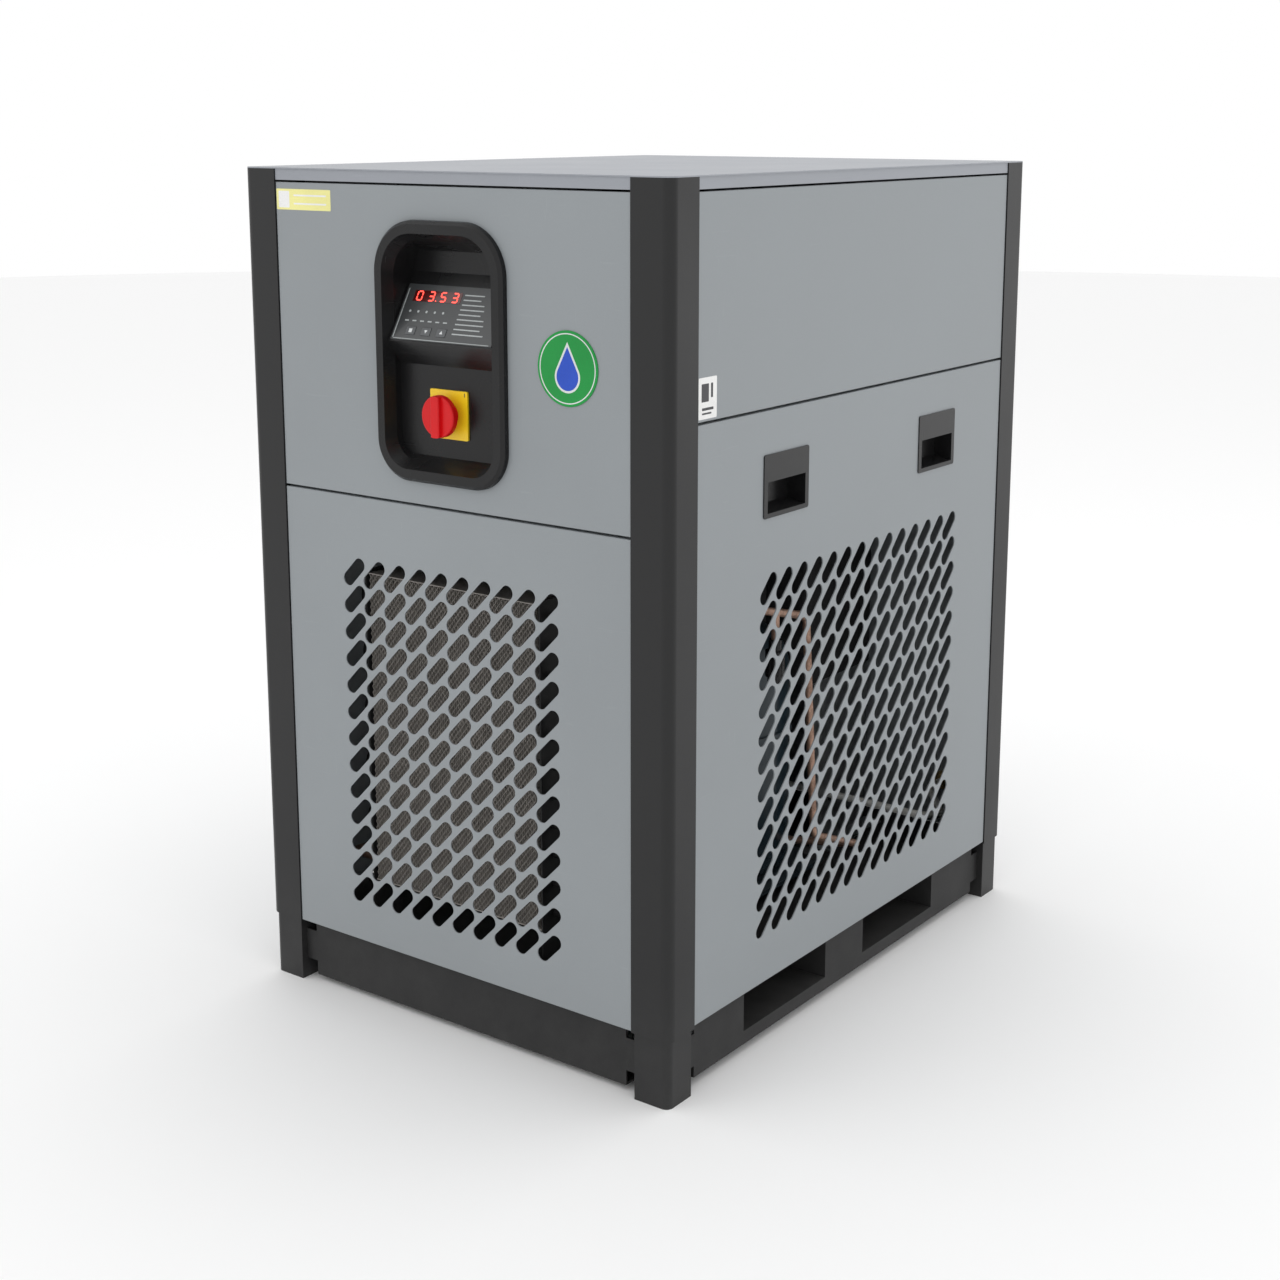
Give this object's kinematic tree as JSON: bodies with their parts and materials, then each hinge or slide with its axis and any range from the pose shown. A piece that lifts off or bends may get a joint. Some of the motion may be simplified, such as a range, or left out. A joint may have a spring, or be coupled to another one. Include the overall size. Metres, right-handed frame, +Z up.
{
  "type": "refrigerated air dryer",
  "caption": "Free-standing cabinet that cools compressed air and drains its water: black corner posts, grey sheet panels, slotted air grilles, recessed control panel.",
  "frame": {"origin": "on the floor, under the middle of the cabinet", "axes": "+Z up; the front with the control recess faces -Y; the slotted side grille faces +X; the air ports face +Y"},
  "size_m": [0.65, 0.859, 1.06],
  "materials": {
    "post_black": "satin black powder coat",
    "frame_black": "matte black powder coat",
    "panel_grey": "satin grey powder coat",
    "cover_grey": "satin grey powder coat",
    "black_plastic": "fine moulded grain",
    "grey_plastic": "moulded",
    "white_plastic": "moulded",
    "fascia_grey": "printed film",
    "red_window": "glowing red window",
    "key_grey": "moulded",
    "yellow_plastic": "moulded",
    "red_plastic": "moulded",
    "badge_green_blue": "printed",
    "zinc_steel": "zinc plated",
    "galvanised": "galvanised sheet",
    "copper": "drawn copper tube",
    "brass": "machined brass",
    "fin_aluminium": "thin fin stock",
    "cast_aluminium": "cast",
    "fan_black": "black paint",
    "motor_black": "black paint",
    "compressor_paint": "gloss blue-black paint",
    "pump_iron": "as cast",
    "rubber_black": "moulded",
    "foam_black": "closed-cell foam"
  },
  "bodies": {
    "cabinet": {"corner_posts": "post_black", "post_feet": "post_black", "base_rails": "frame_black", "base_deck": "frame_black", "cross_rails": "galvanised", "top_cover": "cover_grey", "front_upper_panel": "panel_grey", "front_lower_panel": "panel_grey", "rear_upper_panel": "panel_grey", "rear_lower_panel": "panel_grey", "right_upper_panel": "panel_grey", "left_upper_panel": "panel_grey", "panel_sockets": "black_plastic", "rear_screws": "zinc_steel", "round_badge": "badge_green_blue", "control_bezel": "black_plastic", "controller_body": "black_plastic", "controller_fascia": "fascia_grey", "led_window": "red_window", "switch_plate": "yellow_plastic", "switch_body": "grey_plastic", "electrical_plate": "galvanised", "contactor": "grey_plastic", "cable_gland": "grey_plastic", "condenser_fins": "fin_aluminium", "condenser_tubes": "frame_black", "condenser_frame": "frame_black", "fan_shroud": "galvanised", "fan_motor": "motor_black", "motor_bracket": "fan_black", "compressor_shell": "compressor_paint", "compressor_pump": "pump_iron", "compressor_mounts": "rubber_black", "exchanger_jacket": "foam_black", "exchanger_core": "cast_aluminium", "exchanger_brackets": "galvanised", "air_ports": "brass", "discharge_line": "copper", "fan_pressure_switch": "black_plastic", "filter_drier": "copper", "liquid_line": "copper", "bypass_valve": "brass", "suction_line": "foam_black", "drain_valve": "brass", "drain_body": "black_plastic", "drain_hose": "white_plastic", "drain_outlet": "brass"},
    "right_cover": {"right_lower_panel": "panel_grey", "right_handles": "black_plastic", "right_panel_studs": "zinc_steel"},
    "left_cover": {"left_lower_panel": "panel_grey", "left_handles": "black_plastic", "left_panel_studs": "zinc_steel"},
    "main_switch": {"switch_knob": "red_plastic"},
    "fan": {"fan_rotor": "fan_black"},
    "set_button": {"set_key": "key_grey"},
    "down_button": {"down_key": "key_grey"},
    "up_button": {"up_key": "key_grey"},
    "drain_valve_lever": {"drain_lever": "red_plastic"},
    "drain_test": {"drain_test_button": "key_grey"}
  },
  "joints": [
    {"name": "right_cover_pull", "type": "slide", "parent": "cabinet", "child": "right_cover", "axis": [1, 0, 0], "range_m": [0, 0.04]},
    {"name": "left_cover_pull", "type": "slide", "parent": "cabinet", "child": "left_cover", "axis": [-1, 0, 0], "range_m": [0, 0.04]},
    {"name": "main_switch_turn", "type": "hinge", "parent": "cabinet", "child": "main_switch", "pos_m": [-0.005, -0.404, 0.778], "axis": [0, -1, 0], "range_deg": [0, 90]},
    {"name": "fan_spin", "type": "hinge", "parent": "cabinet", "child": "fan", "pos_m": [-0.015, -0.302, 0.3645], "axis": [0, 1, 0], "continuous": true},
    {"name": "set_key_press", "type": "slide", "parent": "cabinet", "child": "set_button", "axis": [0, 0.866, -0.5], "range_m": [0, 0.0007], "stiffness_N_per_m": 1500},
    {"name": "down_key_press", "type": "slide", "parent": "cabinet", "child": "down_button", "axis": [0, 0.866, -0.5], "range_m": [0, 0.0007], "stiffness_N_per_m": 1500},
    {"name": "up_key_press", "type": "slide", "parent": "cabinet", "child": "up_button", "axis": [0, 0.866, -0.5], "range_m": [0, 0.0007], "stiffness_N_per_m": 1500},
    {"name": "drain_lever_turn", "type": "hinge", "parent": "cabinet", "child": "drain_valve_lever", "pos_m": [0.026, 0.28, 0.254], "axis": [-1, 0, 0], "range_deg": [0, 90]},
    {"name": "drain_test_press", "type": "slide", "parent": "cabinet", "child": "drain_test", "axis": [0, 1, 0], "range_m": [0, 0.002], "stiffness_N_per_m": 800}
  ]
}
